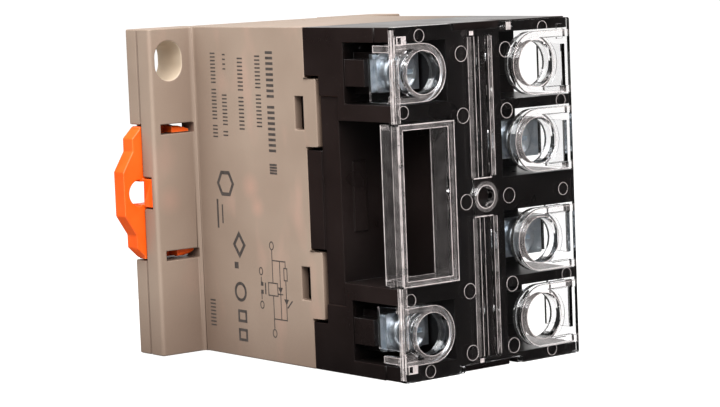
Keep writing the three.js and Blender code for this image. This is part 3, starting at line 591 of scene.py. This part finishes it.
# Widths in mm of the rounded edges.
EDGE_WIDTHS = {
    "base_housing": 0.25, "terminal_housing": 0.12, "touch_guard": 0.06, "rail_clip": 0.25,
    "armature": 0.15, "yoke": 0.2, "iron_core": 0.2, "coil_bobbin": 0.15, "contact_carrier": 0.12,
    "contact_bridge": 0.12, "insulating_divider": 0.1, "circuit_board": 0.05,
}
TERMINAL_EDGE_WIDTH = 0.08

SPRINGS = (                 # the spring, the slide that shortens it, and its end that stays put
    ("return_spring", "contact_carrier_slide", 1),
    ("contact_spring", "contact_bridge_slide", 0),
)


def link_piece(name, mesh):
    piece = bpy.data.objects.new(name, mesh)
    bpy.context.scene.collection.objects.link(piece)
    return piece


def merged_copy(node):
    """The CAD solid's mesh with split vertices joined and flat areas made into single faces."""
    mesh = frame["nodes"][node].data.copy()
    mesh.materials.clear()
    work = bmesh.new()
    work.from_mesh(mesh)
    bmesh.ops.remove_doubles(work, verts=work.verts, dist=SAME_PLACE)
    bmesh.ops.dissolve_limit(work, angle_limit=FLAT_ANGLE, verts=work.verts, edges=work.edges)
    work.to_mesh(mesh)
    work.free()
    if "custom_normal" in mesh.attributes:
        mesh.attributes.remove(mesh.attributes["custom_normal"])
    mesh.shade_smooth()
    return mesh


def sharp_edges(work):
    return [e for e in work.edges if e.is_manifold and e.calc_face_angle() > SHARP_ANGLE]


def turning(a, b, p):
    """Above 0 where p lies to the left of the line from a to b, and below 0 to its right."""
    return (b[0] - a[0]) * (p[1] - a[1]) - (b[1] - a[1]) * (p[0] - a[0])


def crossing_points(face):
    """The corners beside each crossing of a face's outline with itself, which too wide a bevel makes."""
    first = face.normal.orthogonal().normalized()
    second = face.normal.cross(first)
    flat = [(v.co.dot(first), v.co.dot(second)) for v in face.verts]
    count = len(flat)
    found = []
    for i in range(count):
        a, b = flat[i], flat[(i + 1) % count]
        for j in range(i + 2, count - (i == 0)):
            c, d = flat[j], flat[(j + 1) % count]
            if turning(a, b, c) * turning(a, b, d) < 0 and turning(c, d, a) * turning(c, d, b) < 0:
                found += [face.verts[i].co.copy(), face.verts[j].co.copy()]
    return found


def distance_to_edge(point, edge):
    a, b = (v.co for v in edge.verts)
    t = (point - a).dot(b - a) / max((b - a).length_squared, 1e-18)
    return (a + (b - a) * min(1.0, max(0.0, t)) - point).length


def bevelled(mesh, width):
    """A copy of the mesh with its weighted edges rounded."""
    bevel_piece = bpy.data.objects.new("bevel_work", mesh)
    bpy.context.scene.collection.objects.link(bevel_piece)
    bevel = bevel_piece.modifiers.new("edges", "BEVEL")
    bevel.width = width
    bevel.segments = 2
    bevel.limit_method = "WEIGHT"
    bevel.use_clamp_overlap = False
    weighted = bevel_piece.modifiers.new("normals", "WEIGHTED_NORMAL")
    weighted.keep_sharp = True
    bpy.context.view_layer.update()
    evaluated = bevel_piece.evaluated_get(bpy.context.evaluated_depsgraph_get())
    result = bpy.data.meshes.new_from_object(evaluated)
    bpy.data.objects.remove(bevel_piece)
    return result


def round_edges(piece, width_mm):
    """Bevels the sharp edges, leaving out the few that have no room for it."""
    width = width_mm * MM
    mesh = piece.data
    work = bmesh.new()
    work.from_mesh(mesh)
    weight = work.edges.layers.float.new("bevel_weight_edge")
    for edge in sharp_edges(work):
        edge[weight] = 1.0
    work.to_mesh(mesh)
    for attempt in range(BEVEL_TRIES):
        result = bevelled(mesh, width)
        check = bmesh.new()
        check.from_mesh(result)
        check.normal_update()
        tight = [p for f in check.faces if len(f.verts) > 4 for p in crossing_points(f)]
        check.free()
        if not tight:
            break
        any_length = attempt >= BEVEL_TRIES / 2
        for edge in work.edges:
            near = edge[weight] and min(distance_to_edge(p, edge) for p in tight) < 3 * width
            if near and (any_length or edge.calc_length() < SHORT_EDGE):
                edge[weight] = 0.0
                edge.smooth = False
        work.to_mesh(mesh)
    work.free()
    piece.data = result


def finish_piece(piece, slot, body, nodes=(), look=None):
    piece.data.materials.clear()
    piece.data.materials.append(MATERIAL[look or slot])
    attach(piece, body)
    if nodes:
        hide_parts(*nodes)


def refine(node, slot, width_mm):
    piece = link_piece(f"{node}_shell", merged_copy(node))
    round_edges(piece, width_mm)
    finish_piece(piece, slot, BODY_OF[node], [node])


def node_slot(node):
    for entry in frame["record"]["subparts"]:
        if entry["node"] == node:
            return entry["material_slot"]
    raise ValueError(f"no material slot for {node}")


def dress_nodes():
    """Refined copies for the pieces with worked edges, and materials for the rest."""
    for node, solid in frame["nodes"].items():
        slot = node_slot(node)
        if node in EDGE_WIDTHS:
            refine(node, slot, EDGE_WIDTHS[node])
        elif node.endswith(("_strap", "_clamp", "_screw")):
            refine(node, slot, TERMINAL_EDGE_WIDTH)
        else:
            solid.data.materials.clear()
            solid.data.materials.append(MATERIAL[slot])


def add_springs():
    """Coil springs, each a copy of the CAD solid with its material."""
    for node, slide, fixed_end in SPRINGS:
        piece = link_piece(f"{node}_wire", merged_copy(node))
        finish_piece(piece, node_slot(node), BODY_OF[node], [node])
        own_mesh(piece)


# ---------------------------------------------------------------- flat marks

MARK_SINK = 0.01            # mm by which a mark starts under its surface
MARK_STEP = 0.00002         # each mark is a little higher than the last, so that none share a plane
RING_STEPS = 28
SHARPEST_MITRE = 0.3        # cosine of half a corner's turn, past which its mitre grows no longer


class Marks:
    """Thin raised shapes drawn in a plane: points (a, b) in mm go to place(a, b, height in mm)."""

    def __init__(self, place, height):
        self.place = place
        self.height = height
        self.work = bmesh.new()

    def prism(self, outline):
        """A closed solid with the given outline, from just under the surface to its height."""
        self.height += MARK_STEP
        low, high = ([self.work.verts.new(self.place(a, b, level)) for a, b in outline]
                     for level in (-MARK_SINK, self.height))
        count = len(outline)
        self.work.faces.new(high)
        self.work.faces.new(low[::-1])
        for i in range(count):
            j = (i + 1) % count
            self.work.faces.new((low[i], low[j], high[j], high[i]))

    def bar(self, a, b, size_a, size_b):
        """A bar centred on (a, b)."""
        da, db = size_a / 2, size_b / 2
        self.prism([(a - da, b - db), (a + da, b - db), (a + da, b + db), (a - da, b + db)])

    def band(self, points, width, closed=False):
        """A line of even width through the points, with mitred corners."""
        self.height += MARK_STEP
        points = [Vector(p) for p in points]
        rows = []
        for i, point in enumerate(points):
            ways = []
            if closed or i > 0:
                ways.append((point - points[i - 1]).normalized())
            if closed or i < len(points) - 1:
                ways.append((points[(i + 1) % len(points)] - point).normalized())
            forward = sum(ways, Vector((0, 0))).normalized()
            across = Vector((-forward.y, forward.x)) * width / 2 / max(SHARPEST_MITRE, forward.dot(ways[0]))
            corners = ((1, -MARK_SINK), (1, self.height), (-1, self.height), (-1, -MARK_SINK))
            rows.append([self.work.verts.new(self.place(*(point + way * across), h)) for way, h in corners])
        for i in range(len(rows) if closed else len(rows) - 1):
            row, following = rows[i], rows[(i + 1) % len(rows)]
            for k in range(4):
                self.work.faces.new((row[k], row[k - 1], following[k - 1], following[k]))
        if not closed:
            self.work.faces.new(rows[0])
            self.work.faces.new(rows[-1][::-1])

    def frame(self, span_a, span_b, width):
        """The outline of a rectangle."""
        (a0, a1), (b0, b1) = span_a, span_b
        self.band([(a0, b0), (a1, b0), (a1, b1), (a0, b1)], width, closed=True)

    def ring(self, a, b, radius, width, stretch=1.0):
        """A ring about (a, b), with its radius along b stretched."""
        turns = [2 * math.pi * i / RING_STEPS for i in range(RING_STEPS)]
        points = [(a + radius * math.cos(t), b + radius * stretch * math.sin(t)) for t in turns]
        self.band(points, width, closed=True)

    def finish(self, name, slot, body, look):
        """Makes what has been drawn into one piece."""
        bmesh.ops.recalc_face_normals(self.work, faces=self.work.faces)
        mesh = bpy.data.meshes.new(name)
        self.work.to_mesh(mesh)
        self.work.free()
        piece = link_piece(name, mesh)
        finish_piece(piece, slot, body, look=look)


# The surfaces that marks are drawn on. The guard's side lies in the plane of the case's printed side.
RIM_HEIGHT = 0.35           # mm by which the guard's rims stand out from its flat face
RIM_DEPTH = 0.03            # marks on the rims and the end edge lie this far inside the clear moulding
GUARD_FACE_Y = GUARD_LOW.y + RIM_HEIGHT * MM

# The marker frame's window: its far side and its lower side, and where they end at the back.
WINDOW_RIGHT, WINDOW_LOW, WINDOW_BACK = -10.3, -13.95, -65.2


def on_left_side(y, z, height):
    return (SIDE_X - height * MM, y * MM, z * MM)


def on_guard_face(x, z, height):
    return (x * MM, GUARD_FACE_Y - height * MM, z * MM)


def on_guard_rim(x, z, height):
    return (x * MM, GUARD_LOW.y + (RIM_DEPTH - height) * MM, z * MM)


def on_guard_end(x, y, height):
    return (x * MM, y * MM, GUARD_HIGH.z - (RIM_DEPTH - height) * MM)


def on_window_side(y, z, height):
    return ((WINDOW_RIGHT - height) * MM, y * MM, z * MM)


def on_window_floor(x, y, height):
    return (x * MM, y * MM, (WINDOW_LOW + height) * MM)


# ---------------------------------------------------------------- print on the case

PRINT_HEIGHT = 0.015
TICKS_IN_GROUP = 9

# Rows of ticks, in mm: y, upper end, lower end, a tick's length, the room of two ticks, their thickness.
PRINT_ROWS = (
    (-31.8, 28.6, 7.2, 2.3, 2.13, 0.52),
    (-31.8, 6.4, 4.2, 2.3, 1.1, 0.4),
    (-27.9, 27.7, 12.4, 1.7, 1.53, 0.3),
    (-22.1, 27.2, 11.7, 1.7, 1.55, 0.3),
    (-16.8, 28.0, 24.2, 0.9, 1.9, 0.28),
    (-16.5, 19.8, 11.0, 1.6, 1.46, 0.28),
    (-13.0, 28.1, 11.0, 1.6, 1.45, 0.28),
    (-9.5, -22.0, -27.8, 1.8, 1.45, 0.3),
)


def add_row(marks, y, z_top, z_bottom, length, room, thickness):
    """A row of even ticks, in groups, in place of a line of print, down the side of the case."""
    step = room / 2
    for i in range(round((z_top - z_bottom) / step)):
        if (i + 1) % (TICKS_IN_GROUP + 1):
            marks.bar(y, z_top - step * (i + 0.5), length, thickness)


def add_circuit_symbol(marks):
    """Coil between two terminals with a lamp branch, and a double-make contact between two others."""
    line, terminal, contact = 0.22, 0.62, 0.55
    coil_y, lamp_y, inner_y, contact_y = -30.1, -34.3, -32.5, -26.3
    top, bottom = -12.8, -24.4
    coil_top, coil_bottom = -17.3, -19.8
    marks.ring(coil_y, -9.9, terminal, line, 1.25)
    marks.ring(coil_y, -27.3, terminal, line, 1.25)
    marks.band([(coil_y, -10.8), (coil_y, coil_top)], line)
    marks.band([(coil_y, coil_bottom), (coil_y, -26.4)], line)
    marks.frame((coil_y - 1.5, coil_y + 1.5), (coil_top, coil_bottom), line)
    marks.band([(coil_y, top), (lamp_y, top), (lamp_y, -14.1)], line)
    marks.band([(lamp_y, -16.5), (lamp_y, bottom), (coil_y, bottom)], line)
    marks.band([(inner_y, top), (inner_y, bottom)], line)
    marks.frame((lamp_y - 0.5, lamp_y + 0.5), (-14.1, -16.5), line)
    marks.prism([(inner_y - 0.75, -18.0), (inner_y + 0.75, -18.0), (inner_y, -19.2)])
    marks.bar(inner_y, -19.35, 1.6, line)
    marks.prism([(lamp_y - 0.75, -20.2), (lamp_y + 0.75, -20.2), (lamp_y, -21.4)])
    marks.band([(lamp_y - 0.3, -21.9), (lamp_y - 1.9, -20.4)], 0.3)
    marks.ring(contact_y, -15.2, contact, line, 1.3)
    marks.ring(contact_y, -21.9, contact, line, 1.3)
    marks.bar(contact_y, -17.0, line, 1.4)
    marks.bar(contact_y, -20.1, line, 1.4)
    marks.bar(contact_y - 0.2, -17.7, 0.8, 0.8)
    marks.bar(contact_y - 0.2, -19.3, 0.8, 0.8)
    marks.band([(contact_y - 1.3, -17.4), (contact_y - 1.3, -19.7)], 0.35)


def add_generic_marks(marks):
    """A hexagon, two bars, a diamond, a dot, a ring and two squares."""
    corners = [math.pi * i / 3 for i in range(6)]
    marks.band([(-15.6 + 2.5 * math.cos(t), 1.7 + 2.5 * math.sin(t)) for t in corners], 0.7, closed=True)
    marks.bar(-12.6, -4.5, 0.55, 5.8)
    marks.bar(-14.2, -4.5, 0.4, 3.8)
    marks.band([(-19.4, -8.2), (-17.7, -10.4), (-19.4, -12.6), (-21.1, -10.4)], 0.7, closed=True)
    marks.bar(-18.2, -14.6, 1.3, 1.3)
    marks.ring(-19.2, -19.9, 1.7, 0.6)
    for z in (-24.8, -28.6):
        marks.frame((-20.7, -18.3), (z - 1.0, z + 1.0), 0.55)


def add_print():
    """Generic print on the side of the case, with no lettering."""
    marks = Marks(on_left_side, PRINT_HEIGHT)
    for row in PRINT_ROWS:
        add_row(marks, *row)
    add_circuit_symbol(marks)
    add_generic_marks(marks)
    marks.finish("side_print", "grey_case", "case", "ink")


# ---------------------------------------------------------------- marks in the clear guard

LINE_HEIGHT = 0.02          # mm; lines stand over the walls that they cross
WALL_HEIGHT = 0.01
HOOD_LINE = 0.12            # width of the lines about the driver tubes and hoods, in mm
HOOD_STEPS = 18
HOODS = (          # screw at (x, z), hole radius, outer radius, x of the edge the hood runs to
    ((-15.7, 24.4), 4.0, 5.5, -22.2), ((-15.7, -24.4), 4.0, 5.5, -22.2),
    ((12.6, 9.6), 4.4, 6.05, 21.1), ((12.6, -9.6), 4.4, 6.05, 21.1),
    ((12.6, 24.4), 4.4, 6.05, 21.1), ((12.6, -24.4), 4.4, 6.05, 21.1),
)
GROOVE_MIDDLE, GROOVE_LENGTH = 17.1, 26.4       # of each of the two grooves, along z
GROOVE_RIBS = ((-4.42, 0.10), (-2.8, 0.12), (-1.7, 0.08), (0.67, 0.12), (1.58, 0.12))   # x and width

EJECTOR_HEIGHT = 0.05
EJECTOR_LINE = 0.085

# Ejector marks on the guard's face: (x, z, radius) in mm.
EJECTOR_MARKS = (
    (-6.1, 27.3, 1.45), (-20.6, 17.3, 1.2), (-6.1, 15.7, 1.45), (-6.0, -0.6, 1.45), (-5.9, -17.5, 1.45),
    (-20.5, -17.6, 1.2), (-5.7, -29.3, 1.45), (5.0, 27.5, 1.45), (4.9, 15.9, 1.45), (4.8, -0.3, 1.45),
    (4.9, -17.3, 1.45), (4.8, -29.2, 1.45), (19.0, 16.9, 1.2), (18.9, -0.3, 1.2), (19.1, -17.0, 1.2),
    (-16.2, 31.2, 1.2), (-16.3, -31.4, 1.2), (14.7, 31.2, 1.2), (14.7, -31.2, 1.2),
)


def lines_and_walls(place):
    """Lines and walls of painted light, for where the moulding's thick parts catch the light."""
    return Marks(place, LINE_HEIGHT), Marks(place, WALL_HEIGHT)


def finish_guard(marks, name, look):
    marks.finish(name, "clear_guard", "touch_guard", look)


def add_ejector_marks():
    rings = Marks(on_guard_face, EJECTOR_HEIGHT)
    for x, z, radius in EJECTOR_MARKS:
        rings.ring(x, z, radius, EJECTOR_LINE)
    finish_guard(rings, "guard_ejector_marks", "lit_edges_and_ejector_marks")


def add_side_edges():
    """The guard's side: its plate's edges, the bars under the corner pads, and the marker frame."""
    lines, walls = lines_and_walls(on_left_side)
    for end in (-1, 1):
        lines.bar(-68.66, end * 23.9, 0.14, 17.2)
        lines.bar(-70.0, end * 23.9, 0.16, 17.2)
        lines.bar(-70.2, end * 29.35, 0.4, 3.7)
        lines.bar(-69.3, end * 23.9, 0.6, 17.2)
        walls.bar(-69.3, end * 22.6, 1.1, 10.0)
        walls.bar(-66.25, end * 29.0, 4.7, 1.3)
        lines.bar(-66.25, end * 28.4, 4.7, 0.12)
        lines.bar(-66.25, end * 29.6, 4.7, 0.12)
        lines.bar(-63.95, end * 29.0, 0.16, 1.3)
    lines.bar(-70.25, 0, 0.3, 29.6)
    lines.bar(-65.35, 0, 0.22, 29.9)
    lines.bar(-68.5, 0, 0.1, 29.9)
    walls.bar(-69.4, 0, 1.4, 29.6)
    finish_guard(lines, "guard_side_edges", "lit_edges_and_ejector_marks")
    finish_guard(walls, "guard_side_walls", "lit_wall")


def hood_line(centre, radius, edge_x):
    """Half round about a screw and straight on to the case's edge."""
    x, z = centre
    way = math.copysign(1.0, edge_x - x)
    turns = [math.pi / 2 + math.pi * i / HOOD_STEPS for i in range(HOOD_STEPS + 1)]
    arc = [(x + way * radius * math.cos(t), z + radius * math.sin(t)) for t in turns]
    return [(edge_x, z + radius), *arc, (edge_x, z - radius)]


def add_rim_edges():
    """What stands out in front: marker frame, snap hole, driver tubes, hoods, corner pads, rib ends."""
    lines, walls = lines_and_walls(on_guard_rim)
    lines.frame((-22.15, -8.75), (-15.0, 15.0), 0.2)
    lines.frame((-21.3, -10.2), (-14.05, 14.05), 0.14)
    walls.frame((-21.7, -9.5), (-14.5, 14.5), 0.8)
    lines.bar(-2.0, 3.62, 4.6, 0.2)
    lines.bar(-2.0, -3.62, 4.6, 0.2)
    lines.ring(-1.3, 0, 2.2, 0.16)
    walls.ring(-1.3, 0, 2.6, 0.7)
    for centre, hole, outer, edge_x in HOODS:
        lines.ring(*centre, hole + HOOD_LINE, HOOD_LINE)
        lines.band(hood_line(centre, outer - HOOD_LINE, edge_x), HOOD_LINE)
        walls.ring(*centre, hole + 0.5, 0.7)
        walls.band(hood_line(centre, outer - 0.6, edge_x), 0.9)
    for end in (-1, 1):
        walls.bar(-20.9, end * 28.6, 2.6, 2.1)
        lines.frame((-21.8, -20.7), sorted((end * 29.75, end * 31.2)), 0.22)
        lines.bar(-20.1, end * 30.5, 0.9, 1.6)
        lines.bar(-20.9, end * 29.0, 2.4, 0.14)
        lines.bar(-3.7, end * 31.0, 1.0, 0.8)
    finish_guard(lines, "guard_rim_edges", "lit_edges_and_ejector_marks")
    finish_guard(walls, "guard_rim_walls", "lit_wall")


def add_face_edges():
    """The flat face: ribs and sides of the two grooves, strips at its left edge, and the hook block."""
    lines, walls = lines_and_walls(on_guard_face)
    for x, width in GROOVE_RIBS:
        for end in (-1, 1):
            lines.bar(x, end * GROOVE_MIDDLE, width, GROOVE_LENGTH)
    for end in (-1, 1):
        lines.bar(-21.4, end * 21.0, 0.12, 11.4)
        walls.bar(-21.8, end * 21.2, 0.8, 11.8)
        walls.bar(-3.85, end * GROOVE_MIDDLE, 0.8, GROOVE_LENGTH)
        walls.bar(1.2, end * GROOVE_MIDDLE, 0.6, GROOVE_LENGTH)
    lines.bar(6.0, 31.9, 1.2, 1.5)
    finish_guard(lines, "guard_face_edges", "lit_edges_and_ejector_marks")
    finish_guard(walls, "guard_face_walls", "lit_wall")


def add_window_edges():
    """The far side and the lower side of the marker frame's window."""
    lines, walls = lines_and_walls(on_window_side)
    middle, depth = WINDOW_BACK - 2.5, 4.8
    walls.bar(middle, 0, depth, 27.6)
    lines.bar(WINDOW_BACK - 0.15, 0, 0.2, 27.6)
    lines.place = walls.place = on_window_floor
    walls.bar(-15.75, middle, 10.6, depth)
    lines.bar(-15.75, WINDOW_BACK - 0.15, 10.6, 0.2)
    finish_guard(lines, "guard_window_edges", "lit_edges_and_ejector_marks")
    finish_guard(walls, "guard_window_walls", "faintly_lit_wall")


def add_frame_panel():
    """The marker frame's near side, between its front and back edges."""
    panel = Marks(on_left_side, WALL_HEIGHT)
    panel.bar(-67.1, 0, 3.0, 29.4)
    finish_guard(panel, "guard_frame_panel", "faintly_lit_wall")


def add_end_edge():
    """The guard's upper edge, over the coil terminal."""
    edge = Marks(on_guard_end, LINE_HEIGHT)
    edge.bar(-15.0, -69.3, 13.8, 1.3)
    finish_guard(edge, "guard_end_edge", "lit_edges_and_ejector_marks")


# ---------------------------------------------------------------- assembly

bpy.context.scene.view_settings.view_transform = "Standard"
add_camera()
add_world()
add_lights()
add_floor()
dress_nodes()
add_springs()
add_print()
add_ejector_marks()
add_side_edges()
add_rim_edges()
add_face_edges()
add_window_edges()
add_frame_panel()
add_end_edge()
